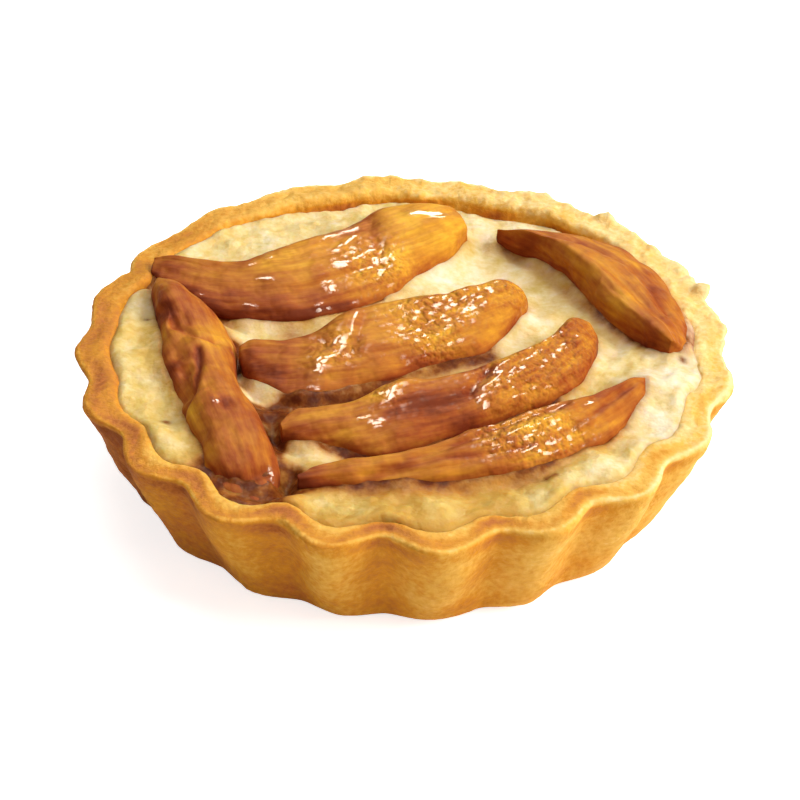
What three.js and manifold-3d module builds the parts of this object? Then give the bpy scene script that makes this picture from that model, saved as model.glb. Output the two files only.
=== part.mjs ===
// A single-serving apple tart: a fluted shortcrust shell, a baked cream filling that has risen
// to the rim, and six glazed apple slices half sunk in the cream.
// Millimetres, +Z up. The tart stands on z = 0 with its centre on the Z axis, and -Y is its front.
import * as THREE from "three";
import { mergeVertices } from "three/addons/utils/BufferGeometryUtils.js";
import Module from "manifold-3d";

const wasm = await Module();
wasm.setup();

// Driving dimensions of the shell
const RIM_RADIUS = 49; // to the crests of the flutes
const RIM_HEIGHT = 20.3;
const RIM_TILT = { back: 0.35, left: 0.45 }; // the rim baked a little higher at the back and the left
const FOOT_RADIUS = 40.3;
const WALL_BELLY = 0.4; // how far the wall bows out half way up
const CRUST_THICKNESS = 5.2; // at the rim
const CRUST_TAPER = 0.7; // how much thinner the wall is at the foot
const FOOT_ROUNDING = 2.2; // how far the flat foot stops short of the wall
const LIP_ROUNDING = 1.5; // how far the rim's rounded edges reach in from either side
const RIM_CROWN = 0.4; // how far the rim's middle stands above its mean height
const FLOOR_THICKNESS = 4.2;
const FLUTES = 20;
const FLUTE_PHASE = THREE.MathUtils.degToRad(-2); // the groove nearest the front, from -Y towards +X
const FLUTE_STRETCH = THREE.MathUtils.degToRad(3.7); // flutes at the left stand this far behind even spacing
const RIM_FLUTE_DEPTH = 3.3; // crest to groove, outside
const INNER_FLUTE_DEPTH = 2.2;
const BACK_FLUTE_SHARE = 0.6; // flutes at the back are this shallow, against those at the front
const FOOT_FLUTE_DEPTH = 1.1;
const COLUMNS_PER_FLUTE = 8;
const RIM_WANDER = 0.4; // how far the baked rim strays up, down, in and out

// Driving dimensions of the filling and the slices
const CREAM_LEVEL = 19.7;
const CREAM_EDGE_DROP = 0.7; // the cream falls away where it meets the crust
const GAP = 0.3; // clearance between neighbouring pieces
const CREAM_COLUMNS_PER_FLUTE = 6;
const SLICE_RINGS = 18;
const SLICE_SIDES = 16;

// The cream's banks and hollows: centre, reach and rise
const CREAM_SWELLS = [
  { x: -39, y: -4, reach: 11, rise: 2.6 },
  { x: -33, y: -26, reach: 9, rise: 1.4 },
  { x: 2, y: -39, reach: 12, rise: 2.0 },
  { x: 24, y: -33, reach: 10, rise: 1.8 },
  { x: 38, y: -13, reach: 10, rise: 3.0 },
  { x: -20, y: 36, reach: 12, rise: 1.6 },
  { x: 14, y: 20, reach: 11, rise: -2.2 },
  { x: 22, y: 4, reach: 9, rise: -0.8 },
  { x: -20, y: 3, reach: 7, rise: -0.6 },
];

// Apple slices. Each lies along a path from its tail to its tip, with the peel to the right of it:
// lean lifts the core side, in degrees, swell makes the tip end wider than the tail, blunt is how
// square each end is (1 tapers like a ball, less is blunter), and scoop is the depth of the hollow
// that the core left.
const SLICES = [
  {
    name: "apple_slice_back",
    path: [[-37.9, 19.2, 21.4], [-22, 15.2, 20.2], [-6, 22, 20.5], [9.2, 31.6, 21.6]],
    width: 16.4, thickness: 8.4, lean: 12, swell: 0.12, tailBlunt: 0.95, tipBlunt: 0.7, scoop: 0.4,
  },
  {
    name: "apple_slice_middle",
    path: [[-23.2, -3.8, 19.6], [-9.6, -3.4, 20], [6, 2.8, 20.2], [18.2, 12.2, 20.5]],
    width: 12.8, thickness: 8.4, lean: 9, swell: 0.08, tailBlunt: 0.65, tipBlunt: 0.55, scoop: 0.4,
  },
  {
    name: "apple_slice_front_middle",
    path: [[-17.4, -22.8, 19.2], [-3.5, -19.8, 19.8], [14, -12.4, 20.2], [27.6, 1.2, 20.9]],
    width: 11.2, thickness: 8.0, lean: 8, swell: 0.06, tailBlunt: 0.9, tipBlunt: 0.6, scoop: 0.3,
  },
  {
    name: "apple_slice_front",
    path: [[-14.6, -33.9, 20], [3.9, -30.8, 20], [21, -24.4, 20.3], [35, -10.9, 21]],
    width: 9.6, thickness: 7.2, lean: 6, swell: 0.2, tailBlunt: 0.8, tipBlunt: 0.9, scoop: 0.3,
  },
  {
    name: "apple_slice_left",
    path: [[-19.2, -36.6, 20.9], [-24.2, -22.6, 20.2], [-29.9, -6, 20.2], [-37, 11.4, 21.4]],
    width: 10, thickness: 7.4, lean: 4, swell: -0.22, tailBlunt: 0.6, tipBlunt: 0.75, scoop: 1.2,
  },
  {
    name: "apple_slice_right",
    path: [[40, -2.8, 20.8], [34.6, 9.2, 20.6], [26.2, 23, 20.6], [14.6, 30.6, 20.6]],
    width: 10.4, thickness: 8.2, lean: -12, swell: 0.02, tailBlunt: 0.8, tipBlunt: 0.8, scoop: 0,
  },
];
const PEEL_FULLNESS = 0.24; // how much thicker a slice is on its peel side
const SLICE_SQUARENESS = 2.5; // exponent of the rounded section, 2 is an ellipse

// Crumbs of pastry left standing on the rim: bearing from the front, in degrees, and size
const CRUMBS = [
  { bearing: 138, size: 1.5 },
  { bearing: 108, size: 1.7 },
];
const CRUMB_INSET = 1.1; // from the rim's outer edge to a crumb's middle

const signedPower = (value, exponent) => Math.sign(value) * Math.abs(value) ** exponent;

// The bearing of a point seen from above, from -Y towards +X.
const bearingOf = (x, y) => Math.atan2(x, -y);

// The flutes in plan: 0 on a crest and -1 in a groove, with crests broader than grooves.
function fluteWave(bearing) {
  const stretch = FLUTE_STRETCH * ((1 - Math.sin(bearing)) / 2) ** 2;
  const fall = (1 + Math.cos(FLUTES * (bearing + stretch - FLUTE_PHASE))) / 2;
  const depth = THREE.MathUtils.lerp(BACK_FLUTE_SHARE, 1, (1 + Math.cos(bearing)) / 2);
  return -depth * fall ** 1.3;
}

// A slow, irregular wave round the rim, between about -1 and 1.
function wander(bearing, shift) {
  return (
    0.5 * Math.sin(3 * bearing + 1.3 + shift) +
    0.3 * Math.sin(7 * bearing + 4.1 * shift) +
    0.2 * Math.sin(11 * bearing + 2.2 + 2 * shift)
  );
}

// How far the rim stands above its mean height.
function rimRise(bearing) {
  const tilt = -RIM_TILT.back * Math.cos(bearing) - RIM_TILT.left * Math.sin(bearing);
  return tilt + RIM_WANDER * wander(bearing, 0);
}

// Height of the cream's open surface, before its edge falls to the crust.
function creamHeight(x, y) {
  const ripple = 0.25 * Math.sin(0.31 * x + 0.12 * y + 0.8) + 0.2 * Math.sin(0.37 * y - 0.16 * x);
  return CREAM_SWELLS.reduce((height, swell) => {
    const distance = Math.hypot(x - swell.x, y - swell.y) / swell.reach;
    return height + swell.rise * Math.exp(-distance * distance);
  }, CREAM_LEVEL + ripple);
}

// A closed mesh turned from rings, each { radius, height, depth } where depth is how far flutes cut in.
function turned(rings, columnsPerFlute, shape) {
  const profile = rings.map((ring) => new THREE.Vector2(ring.radius, ring.height));
  const geometry = new THREE.LatheGeometry(profile, FLUTES * columnsPerFlute);
  geometry.rotateX(Math.PI / 2);
  const position = geometry.getAttribute("position");
  for (let i = 0; i < position.count; i++) {
    const ring = rings[i % rings.length];
    const bearing = bearingOf(position.getX(i), position.getY(i));
    const { radius, height } = shape(ring, bearing);
    const isOnAxis = ring.radius === 0;
    position.setXYZ(
      i,
      isOnAxis ? 0 : radius * Math.sin(bearing),
      isOnAxis ? 0 : -radius * Math.cos(bearing),
      height,
    );
  }
  return geometry;
}

// A geometry as a solid that can be joined and cut.
function solidOf(geometry) {
  const bare = geometry.clone();
  bare.deleteAttribute("normal");
  bare.deleteAttribute("uv");
  const merged = mergeVertices(bare, 1e-3);
  return new wasm.Manifold(
    new wasm.Mesh({
      numProp: 3,
      vertProperties: merged.getAttribute("position").array,
      triVerts: new Uint32Array(merged.index.array),
    }),
  );
}

// The solid's surface as a geometry for a mesh.
function geometryOf(solid) {
  const mesh = solid.getMesh();
  const geometry = new THREE.BufferGeometry();
  geometry.setAttribute("position", new THREE.BufferAttribute(mesh.vertProperties, 3));
  geometry.setIndex(new THREE.BufferAttribute(mesh.triVerts, 1));
  geometry.computeVertexNormals();
  return geometry;
}

// The outside of the shell at a share of its height: crest radius and flute depth.
function outerWall(share) {
  return {
    radius: FOOT_RADIUS + (RIM_RADIUS - FOOT_RADIUS) * share + WALL_BELLY * Math.sin(Math.PI * share),
    height: RIM_HEIGHT * share,
    depth: FOOT_FLUTE_DEPTH + (RIM_FLUTE_DEPTH - FOOT_FLUTE_DEPTH) * share,
  };
}

// The inside of the shell at a share of its height, clear of the outside by the crust's thickness.
function innerWall(share) {
  const outer = outerWall(share);
  return {
    radius: outer.radius - CRUST_THICKNESS + CRUST_TAPER * (1 - share),
    height: outer.height,
    depth: outer.depth * (INNER_FLUTE_DEPTH / RIM_FLUTE_DEPTH),
  };
}

function pastryShell() {
  const lip = outerWall(1);
  const inner = innerWall(1);
  const foot = outerWall(0);
  const floor = innerWall(FLOOR_THICKNESS / RIM_HEIGHT);
  const rings = [
    { radius: 0, height: 0, depth: 0 },
    { radius: foot.radius - FOOT_ROUNDING, height: 0, depth: 0.8 * FOOT_FLUTE_DEPTH },
    { radius: foot.radius - FOOT_ROUNDING / 4, height: FOOT_ROUNDING / 4, depth: FOOT_FLUTE_DEPTH },
    outerWall(0.12),
    outerWall(0.4),
    outerWall(0.72),
    { ...outerWall(0.92), lift: 0.5 },
    { radius: lip.radius - 0.2, height: RIM_HEIGHT - RIM_CROWN, depth: lip.depth, lift: 1 },
    { radius: lip.radius - LIP_ROUNDING, height: RIM_HEIGHT + RIM_CROWN, depth: lip.depth * 0.94, lift: 1 },
    { radius: inner.radius + LIP_ROUNDING, height: RIM_HEIGHT + RIM_CROWN, depth: inner.depth * 1.1, lift: 1 },
    { radius: inner.radius + 0.2, height: RIM_HEIGHT - 2 * RIM_CROWN, depth: inner.depth, lift: 0.8 },
    innerWall(0.6),
    floor,
    { radius: 0, height: FLOOR_THICKNESS, depth: 0 },
  ];
  const shell = turned(rings, COLUMNS_PER_FLUTE, (ring, bearing) => {
    const lift = ring.lift ?? 0;
    return {
      radius: ring.radius + ring.depth * fluteWave(bearing) + lift * RIM_WANDER * wander(bearing, 2),
      height: ring.height + lift * rimRise(bearing),
    };
  });
  return CRUMBS.reduce((solid, crumb) => solid.add(rimCrumb(crumb)), solidOf(shell));
}

// A ragged crumb that stands on the outer edge of the rim.
function rimCrumb({ bearing, size }) {
  const angle = THREE.MathUtils.degToRad(bearing);
  const radius = RIM_RADIUS - CRUMB_INSET + RIM_FLUTE_DEPTH * fluteWave(angle);
  const crumb = new THREE.IcosahedronGeometry(size, 1);
  crumb.scale(0.9, 0.7, 1);
  crumb.rotateY(0.5);
  crumb.rotateZ(angle);
  crumb.translate(radius * Math.sin(angle), -radius * Math.cos(angle), RIM_HEIGHT + rimRise(angle));
  return solidOf(crumb);
}

// One slice, moulded from a sphere whose poles become its tail and tip. grow swells it all round.
function appleSlice(slice, grow = 0) {
  const geometry = new THREE.SphereGeometry(1, SLICE_SIDES, SLICE_RINGS);
  const position = geometry.getAttribute("position");
  const spine = new THREE.CatmullRomCurve3(slice.path.map((point) => new THREE.Vector3(...point)));
  const lean = THREE.MathUtils.degToRad(slice.lean);
  for (let i = 0; i < position.count; i++) {
    const axial = position.getY(i);
    const girth = Math.hypot(position.getX(i), position.getZ(i));
    const around = Math.atan2(position.getZ(i), position.getX(i));
    const along = (1 + axial) / 2;
    const taper = girth ** THREE.MathUtils.lerp(slice.tailBlunt, slice.tipBlunt, along);
    const uneven = 1 + 0.05 * Math.sin(9 * along + 2 * around + slice.width);
    const halfWidth = (slice.width / 2) * taper * (1 + slice.swell * axial) * uneven + grow * girth;
    const halfDepth = (slice.thickness / 2) * taper * uneven + grow * girth;
    const across = signedPower(Math.cos(around), 2 / SLICE_SQUARENESS);
    const upward = signedPower(Math.sin(around), 2 / SLICE_SQUARENESS);
    const hollow = slice.scoop * girth ** 6 * Math.max(0, -across);
    const side = halfWidth * across + hollow;
    const rise = halfDepth * upward * (1 + PEEL_FULLNESS * across);
    const point = spine.getPointAt(along);
    const heading = spine.getTangentAt(along).setZ(0).normalize();
    const peel = new THREE.Vector3(heading.y, -heading.x, 0);
    point.addScaledVector(heading, axial * grow);
    point.addScaledVector(peel, side * Math.cos(lean) + rise * Math.sin(lean));
    point.z += rise * Math.cos(lean) - side * Math.sin(lean);
    position.setXYZ(i, point.x, point.y, point.z);
  }
  return solidOf(geometry);
}

function creamFilling(slices) {
  const floor = innerWall(FLOOR_THICKNESS / RIM_HEIGHT);
  const edge = innerWall(1);
  const rings = [
    { radius: 0, height: FLOOR_THICKNESS + GAP, depth: 0 },
    { radius: floor.radius - GAP, height: FLOOR_THICKNESS + GAP, depth: floor.depth },
    { ...innerWall(0.6), radius: innerWall(0.6).radius - GAP },
    { radius: edge.radius - GAP, height: RIM_HEIGHT - CREAM_EDGE_DROP - RIM_CROWN, depth: edge.depth },
    ...[0.975, 0.92, 0.83, 0.72, 0.6, 0.48, 0.35, 0.2, 0].map((share) => ({
      radius: (edge.radius - GAP) * share,
      depth: edge.depth * share ** 2,
      share,
    })),
  ];
  const body = turned(rings, CREAM_COLUMNS_PER_FLUTE, (ring, bearing) => {
    const radius = ring.radius + ring.depth * fluteWave(bearing);
    if (ring.share === undefined) return { radius, height: ring.height };
    const drop = CREAM_EDGE_DROP * ring.share ** 24;
    const height = creamHeight(radius * Math.sin(bearing), -radius * Math.cos(bearing)) - drop;
    return { radius, height };
  });
  return slices.reduce((cream, slice) => cream.subtract(appleSlice(slice, GAP)), solidOf(body));
}

function piece(name, solid, look) {
  const mesh = new THREE.Mesh(geometryOf(solid), new THREE.MeshStandardMaterial({ metalness: 0, ...look }));
  mesh.name = name;
  return mesh;
}

const tart = new THREE.Group();
tart.name = "apple_tart";
tart.add(piece("pastry_shell", pastryShell(), { color: 0xdd9c3f, roughness: 0.7 }));
tart.add(piece("cream_filling", creamFilling(SLICES), { color: 0xecd59a, roughness: 0.55 }));
for (const slice of SLICES) {
  tart.add(piece(slice.name, appleSlice(slice), { color: 0xbf7430, roughness: 0.22 }));
}

export default tart;
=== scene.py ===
import math
import random

import bmesh
import bpy
import numpy as np
from mathutils import Matrix, Vector
from mathutils.bvhtree import BVHTree
from mathutils.kdtree import KDTree


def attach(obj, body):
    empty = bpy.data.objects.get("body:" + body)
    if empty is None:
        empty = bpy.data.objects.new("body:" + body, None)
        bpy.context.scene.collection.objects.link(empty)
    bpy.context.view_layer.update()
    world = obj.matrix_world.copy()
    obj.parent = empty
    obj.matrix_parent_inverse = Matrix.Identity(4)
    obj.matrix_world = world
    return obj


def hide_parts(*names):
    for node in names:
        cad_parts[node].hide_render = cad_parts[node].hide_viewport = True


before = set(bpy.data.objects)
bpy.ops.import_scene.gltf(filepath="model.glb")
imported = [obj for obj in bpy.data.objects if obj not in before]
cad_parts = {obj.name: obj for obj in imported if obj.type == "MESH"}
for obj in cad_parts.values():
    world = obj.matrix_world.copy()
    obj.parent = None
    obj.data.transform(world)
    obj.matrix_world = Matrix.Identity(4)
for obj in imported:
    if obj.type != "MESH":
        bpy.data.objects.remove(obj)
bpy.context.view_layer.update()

# The apple tart as it stands on a pale table: a fluted shortcrust shell, baked cream and six glazed
# apple slices. Metres, +Z up, with the front of the tart at -Y. Lists of places are in millimetres.
MM = 0.001

# The shell
FLUTES = 20
FLUTE_PHASE = math.radians(-2)
FLUTE_STRETCH = math.radians(3.7)
BACK_FLUTE_SHARE = 0.26
SIDE_FLUTE_EASE = 2.6
RIM_RADIUS = 49 * MM
RIM_HEIGHT = 20.3 * MM
LIP_HEIGHT = RIM_HEIGHT - 0.5 * MM
RIM_FLUTE_DEPTH = 4.3 * MM
GROOVE_REACH = 7.7 * MM
GROOVE_SHARP_SHARE = 0.15
RIM_NICK_BEARING = math.radians(-113.4)
RIM_NICK_DEPTH = 1.3 * MM
RIM_NICK_REACH = 3.2 * MM
FOOT_RADIUS = 40.3 * MM
WALL_BELLY = 0.4 * MM
WALL_THICKNESS = 5 * MM
FLOOR_HEIGHT = 4.2 * MM
FLOOR_CORNER = 4.8 * MM
FLOOR_RINGS = (18, 4)
SHELL_COLUMNS = 10 * FLUTES

# The wall's rings, counted from the lip down. The flutes fade slowly at first and faster near the foot, and
# one ring is pressed in near the grooves whose share of the flutes' depth is below the least
WALL_RINGS = 10
PRESSED_RING = 2
LEAST_FLUTE_SHARE = 0.62
LOW_WALL_SHARE = 0.35
HIGH_WALL_FADE = 0.02
LOW_WALL_FADE = 0.15
RING_LEVEL = 0.8         # the share of the ups and downs that each ring keeps of the ring before

# From the wall's lower end in under the foot: inset, height, fading of the flutes, and the share that is kept
# of the ring's ups and downs
FOOT_PROFILE = [(0.4, 0.7, 0.25, 0.3), (1.4, 0.05, 0, 0), (2, 0, 0, 0), (20, 0, 0, 0), (36, 0, 0, 0)]

# Broad rises of the rim: bearing in degrees, rise and reach. Small rises and dips are drawn by chance
BROAD_RISES = [(180, 0.35, 60), (-90, 0.45, 60)]
SMALL_RISES = 16
SMALL_RISE = 0.3
SMALL_RISE_REACH = (8, 16)

# From the lip inwards over the rim: inset from the lip at the front, rise above the rim's height, fading of
# the flutes, and a step forwards and less far to the left, which makes the rim broader at the back and right
RIM_STEP_LEFT = 0.6
RIM_PROFILE = [
    (0.06, -0.12, 0.0, 0.0),
    (0.35, 0.12, 0.0, 0.0),
    (0.9, 0.2, 0.02, 0.0),
    (1.8, 0.2, 0.03, 0.1),
    (2.8, 0.3, 0.05, 0.15),
    (3.7, 0.4, 0.06, 0.15),
    (4.4, 0.3, 0.06, 0.1),
    (4.9, -0.2, 0.05, 0.0),
    (5.2, -1.3, 0.05, 0.0),
    (5.5, -3.0, 0.05, 0.0),
]

# Crumbs that stand out of the rim's edge: bearing in degrees, outward and upward draw, and width
CRUMBS = [(138, 0.6, 1.0, 1.6), (108, 1.3, 1.1, 1.8), (124, 0.4, 0.5, 1.4), (152, 0.3, 0.5, 1.3)]
CRUMB_INSET = 0.4 * MM
CRUMB_HEIGHT = RIM_HEIGHT + 0.5 * MM

# The crust's lumps, crumb and grain: how far across, how high all over, how much higher where the crust is
# crumbly, and a seed
CRUST_RELIEF = [(6, 0.22, 0, 3), (2.8, 0.05, 0.15, 6), (1.5, 0.05, 0.08, 4), (0.7, 0.03, 0.03, 5)]
CRUST_TONE = 0.59

# The cream
CREAM_LEVEL = 19.75 * MM
CREAM_EDGE_HEIGHT = 20.4 * MM
CREAM_LAP = 0.4 * MM
BACK_CREAM_DROP = 0.8 * MM
BACK_RIGHT = Vector((0.26, 0.97, 0))
CREAM_COLUMNS = 12 * FLUTES
CREAM_RINGS = 54
CREAM_EDGE_STEEPNESS = 12
CREAM_FLUTE_FADE = 0.07
CREAM_TUCK = 1.2 * MM
CREAM_FLOOR = FLOOR_HEIGHT + 0.3 * MM
CREAM_BLISTERS = 900
CREAM_TONE = 0.5
FOAM_TONE = 0.88

# How much paler the cream's bank is on each side: bearing in degrees, where the change starts, and how much
CREAM_SIDES = [(75, -0.2, 0.4), (5, 0.5, -0.74), (-90, 0.3, 0.04), (190, 0.3, 0.2)]

# Juice that has run into the cream: place in plan, reach and strength
CREAM_STAINS = [
    ((-18.5, -17.5), 4, 0.7),
    ((-13, -16), 4, 0.7),
    ((-12, -26), 3, 0.25),
    ((-16.3, -33.8), 3.6, 1.0),
    ((-21, -36), 4, 0.9),
    ((-17, 3.3), 3, 0.5),
    ((4, -34.5), 4, 0.35),
    ((18, -31), 4, 0.35),
    ((-5, -35.5), 4, 0.3),
    ((11, -3.5), 4, 0.4),
]

# Creases where the cream dips along a slice, darkened partly by juice and partly as painted shade in the
# # dip: places in plan, reach and strength
CREAM_CREASES = [
    ([(-29, 9.1), (-22, 7.5), (-16, 7.6), (-9.9, 9), (-3.9, 12.2)], 1.0, 0.55),
    ([(-19.5, -15), (-17.2, -14.6), (-12.2, -15.6), (-6.5, -13), (-2, -10.5)], 1.5, 1.1),
    ([(0.5, -9), (5.2, -5.8), (12.6, -2.9)], 1.4, 0.5),
    ([(-10.4, -25), (-4.1, -27.3), (2.2, -25.3), (7.9, -21.3), (13.6, -17.9), (20.9, -14.4)], 1.6, 0.9),
    (
        [
            (-13.5, -35), (-5.4, -34.8), (0.1, -35.6), (5.2, -34.8), (10.5, -34.2), (15.9, -32.8),
            (21.5, -29.6), (29, -23),
        ],
        1.9, 0.3,
    ),
    ([(-24.9, 0.5), (-24.7, -7), (-21.4, -14.4), (-17.8, -23.5), (-17.2, -32.6)], 0.9, 0.6),
    ([(35, 0.2), (28.2, 9.6), (21.8, 20.8), (15.8, 28.9)], 1.2, 0.35),
    (
        [(-27.7, -30.6), (-24.8, -34.3), (-21.6, -36.5), (-18.4, -36.9), (-16.3, -35.3), (-16, -30.9)],
        1.5, 1.3,
    ),
]

# Pale foam in the cream: place in plan, reach and strength
CREAM_FOAM = [
    ((-24.2, -6.5), 2.2, 0.9),
    ((-23, -11), 2, 0.7),
    ((-20.6, -12.2), 2.4, 0.8),
    ((15, 1.8), 3, 0.6),
    ((20, 8), 3, 0.6),
    ((-11.8, -25.7), 3, 0.15),
    ((5.4, 18.8), 8, 0.7),
    ((-22, 9), 3, 0.5),
    ((29, -4), 4, 0.5),
    ((13, 22), 6, 0.6),
    ((-11.6, -37.8), 2.8, 0.5),
    ((-6.4, -39), 3, 0.5),
    ((4.7, -39.4), 3.4, 0.35),
    ((18.2, -37.4), 3.2, 0.75),
    ((28, -30.2), 4, 0.7),
    ((23.6, -33.6), 3, 0.5),
]

# Dark flecks in the cream: place in plan and reach
CREAM_FLECKS = [
    ((-39.9, 15), 0.5),
    ((-39, 6), 0.5),
    ((-33.7, -20.2), 0.7),
    ((20.7, -32.2), 0.6),
    ((19.6, -32.7), 0.5),
    ((40.9, -4), 0.6),
    ((-16.8, -15.8), 0.8),
    ((-37.5, 10.5), 0.4),
]
FLECK_STRENGTH = 1.2

# The cream's banks and hollows: place in plan, rise and reach
CREAM_SWELLS = [
    ((-36, -4), 0.8, 12),
    ((-30, -24), 0.5, 10),
    ((2, -36), 0.8, 10),
    ((24, -30), 0.8, 10),
    ((36, -12), 1.4, 12),
    ((-18, 38), -0.3, 16),
    ((14, 40), -1.2, 16),
    ((36, 22), -1.0, 14),
    ((14, 20), -2.0, 15),
    ((22, 4), -0.8, 12),
    ((-20, 3), -0.6, 10),
]

# A slice's section, seen along it: across from -1 on the peel side to 1 on the core side, and up from -1 to 1
LEANING_SECTION = [
    (-1.0, -0.3), (-0.98, 0.08), (-0.87, 0.36), (-0.5, 0.68), (0.0, 0.9), (0.45, 1.0), (0.76, 1.05),
    (0.95, 0.97), (1.0, 0.5), (0.98, -0.2), (0.8, -0.7), (0.0, -0.85), (-0.85, -0.7),
]
FLAT_SECTION = [
    (-1.0, -0.3), (-0.97, 0.2), (-0.8, 0.6), (-0.4, 0.85), (0.2, 0.95), (0.6, 0.86), (0.86, 0.5), (1.0, -0.1),
    (0.85, -0.65), (0.0, -0.8), (-0.85, -0.7),
]
RIDGED_SECTION = [
    (-1.0, -0.2), (-0.93, 0.26), (-0.5, 0.62), (0.0, 0.86), (0.45, 1.02), (0.66, 1.05), (0.8, 0.88),
    (0.95, 0.2), (1.0, -0.3), (0.8, -0.75), (0.0, -0.85), (-0.8, -0.65),
]

# The slices. Along runs 0 to 1 from tail to tip, and across from -1 on the peel side to 1 on the core side.
# front and back: along, and the reach from the path there, on the peel side and the core side.
# crown: along, and the share of the thickness there. forms: along, across, lift and reach.
# browned: along, across, reach and how much darker or lighter. sugared: along, across and reach.
# streaks: places in plan, reach, how much darker and how much deeper.
# wet: places in plan and reach of pooled glaze. ridges: how high the lengthwise lines of the flesh stand.
SLICE_SIDES = 52
SLICE_RINGS = 46
SLICE_SINK = 0.1 * MM
SAME_PLACE = 1e-4        # on the ball of radius 1 that a slice is made from
OFF_MIDDLE = 1e-5
SAME_BEARING = 0.9999    # the cosine of the angle between two directions that count as one
FLESH_STRETCH = 0.16     # draws the lines of the flesh out along the slice
POOLED_GLAZE = 0.12 * MM
SUGAR_GLAZE = 0.8

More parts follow.
